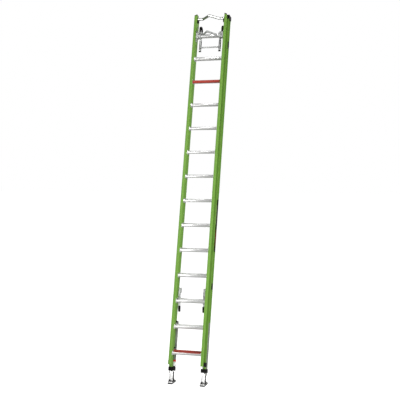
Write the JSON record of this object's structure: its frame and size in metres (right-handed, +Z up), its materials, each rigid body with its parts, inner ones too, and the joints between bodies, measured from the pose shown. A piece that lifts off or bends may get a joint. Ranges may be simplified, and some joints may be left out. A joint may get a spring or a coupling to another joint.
{
  "type": "extension ladder",
  "caption": "Two-section extension ladder with channel rails, level D-section rungs, leveler legs with swivel shoes, rung locks, cable hooks and a V-rung.",
  "frame": {"origin": "centre of the bounding box at ground level, under the leaning ladder", "axes": "+Z up; +Y the way the ladder leans, towards the wall; -Y the climber's side; +X to the climber's right"},
  "size_m": [0.464, 1.2468, 4.4835],
  "materials": {
    "rail_green": "satin pultruded fibreglass",
    "aluminium": "satin extruded",
    "red_paint": "painted, satin",
    "grey_metal": "dull grey, lightly worn",
    "black_plastic": "moulded, slightly textured",
    "rubber": "matt, ribbed"
  },
  "bodies": {
    "base": {"base_rail_left": "rail_green", "base_rail_right": "rail_green", "base_rung_01": "red_paint", "base_rung_02": "aluminium", "base_rung_03": "aluminium", "base_rung_04": "aluminium", "base_rung_05": "aluminium", "base_rung_06": "aluminium", "base_rung_07": "aluminium", "base_rung_08": "aluminium", "base_rung_09": "aluminium", "base_rung_10": "aluminium", "base_rung_11": "aluminium", "base_rung_12": "aluminium", "base_rung_13": "aluminium", "base_rung_14": "aluminium", "top_guide_left": "black_plastic", "collar_left": "black_plastic", "leveler_rack_left": "grey_metal", "top_guide_right": "black_plastic", "collar_right": "black_plastic", "leveler_rack_right": "grey_metal"},
    "fly": {"fly_rail_left": "rail_green", "fly_rail_right": "rail_green", "fly_rung_01": "aluminium", "fly_rung_02": "aluminium", "fly_rung_03": "aluminium", "fly_rung_04": "aluminium", "fly_rung_05": "aluminium", "fly_rung_06": "aluminium", "fly_rung_07": "aluminium", "fly_rung_08": "aluminium", "fly_rung_09": "aluminium", "fly_rung_10": "aluminium", "fly_rung_11": "aluminium", "fly_rung_12": "red_paint", "fly_rung_13": "aluminium", "fly_rung_14": "aluminium", "v_rung": "aluminium", "v_brace": "grey_metal", "low_guide_left": "black_plastic", "hook_bracket_left": "grey_metal", "low_guide_right": "black_plastic", "hook_bracket_right": "grey_metal"},
    "cable_hooks": {"cable_hooks": "grey_metal", "hook_liner_left": "rubber", "hook_liner_right": "rubber"},
    "lock_left": {"rung_lock_left": "grey_metal"},
    "tongue_left": {"lock_tongue_left": "black_plastic"},
    "leg_left": {"leveler_leg_left": "grey_metal"},
    "shoe_left": {"shoe_left": "aluminium", "shoe_pad_left": "rubber"},
    "lever_left": {"release_lever_left": "grey_metal"},
    "lock_right": {"rung_lock_right": "grey_metal"},
    "tongue_right": {"lock_tongue_right": "black_plastic"},
    "leg_right": {"leveler_leg_right": "grey_metal"},
    "shoe_right": {"shoe_right": "aluminium", "shoe_pad_right": "rubber"},
    "lever_right": {"release_lever_right": "grey_metal"}
  },
  "joints": [
    {"name": "fly_slide", "type": "slide", "parent": "base", "child": "fly", "axis": [0, 0.2504, 0.9681], "range_m": [0, 3.3528]},
    {"name": "hook_swing", "type": "hinge", "parent": "fly", "child": "cable_hooks", "pos_m": [0, 0.43643, 4.19819], "axis": [1, 0, 0], "range_deg": [0, 50]},
    {"name": "lock_swing_left", "type": "hinge", "parent": "fly", "child": "lock_left", "pos_m": [-0.152, -0.36068, 0.97221], "axis": [-1, 0, 0], "range_deg": [0, 90]},
    {"name": "tongue_swing_left", "type": "hinge", "parent": "fly", "child": "tongue_left", "pos_m": [-0.152, -0.37145, 0.93058], "axis": [1, 0, 0], "range_deg": [-5, 30]},
    {"name": "leg_slide_left", "type": "slide", "parent": "base", "child": "leg_left", "axis": [0, -0.2504, -0.9681], "range_m": [0, 0.2]},
    {"name": "ankle_left", "type": "hinge", "parent": "leg_left", "child": "shoe_left", "pos_m": [-0.1965, -0.54958, 0.06605], "axis": [1, 0, 0], "range_deg": [-45, 60]},
    {"name": "lever_tip_left", "type": "hinge", "parent": "base", "child": "lever_left", "pos_m": [-0.1805, -0.49971, 0.19259], "axis": [1, 0, 0], "range_deg": [0, 25], "stiffness_Nm_per_rad": 0.4, "springref_deg": -14.32},
    {"name": "lock_swing_right", "type": "hinge", "parent": "fly", "child": "lock_right", "pos_m": [0.152, -0.36068, 0.97221], "axis": [-1, 0, 0], "range_deg": [0, 90]},
    {"name": "tongue_swing_right", "type": "hinge", "parent": "fly", "child": "tongue_right", "pos_m": [0.152, -0.37145, 0.93058], "axis": [1, 0, 0], "range_deg": [-5, 30]},
    {"name": "leg_slide_right", "type": "slide", "parent": "base", "child": "leg_right", "axis": [0, -0.2504, -0.9681], "range_m": [0, 0.2]},
    {"name": "ankle_right", "type": "hinge", "parent": "leg_right", "child": "shoe_right", "pos_m": [0.1965, -0.54958, 0.06605], "axis": [1, 0, 0], "range_deg": [-45, 60]},
    {"name": "lever_tip_right", "type": "hinge", "parent": "base", "child": "lever_right", "pos_m": [0.1805, -0.49971, 0.19259], "axis": [1, 0, 0], "range_deg": [0, 25], "stiffness_Nm_per_rad": 0.4, "springref_deg": -14.32}
  ]
}
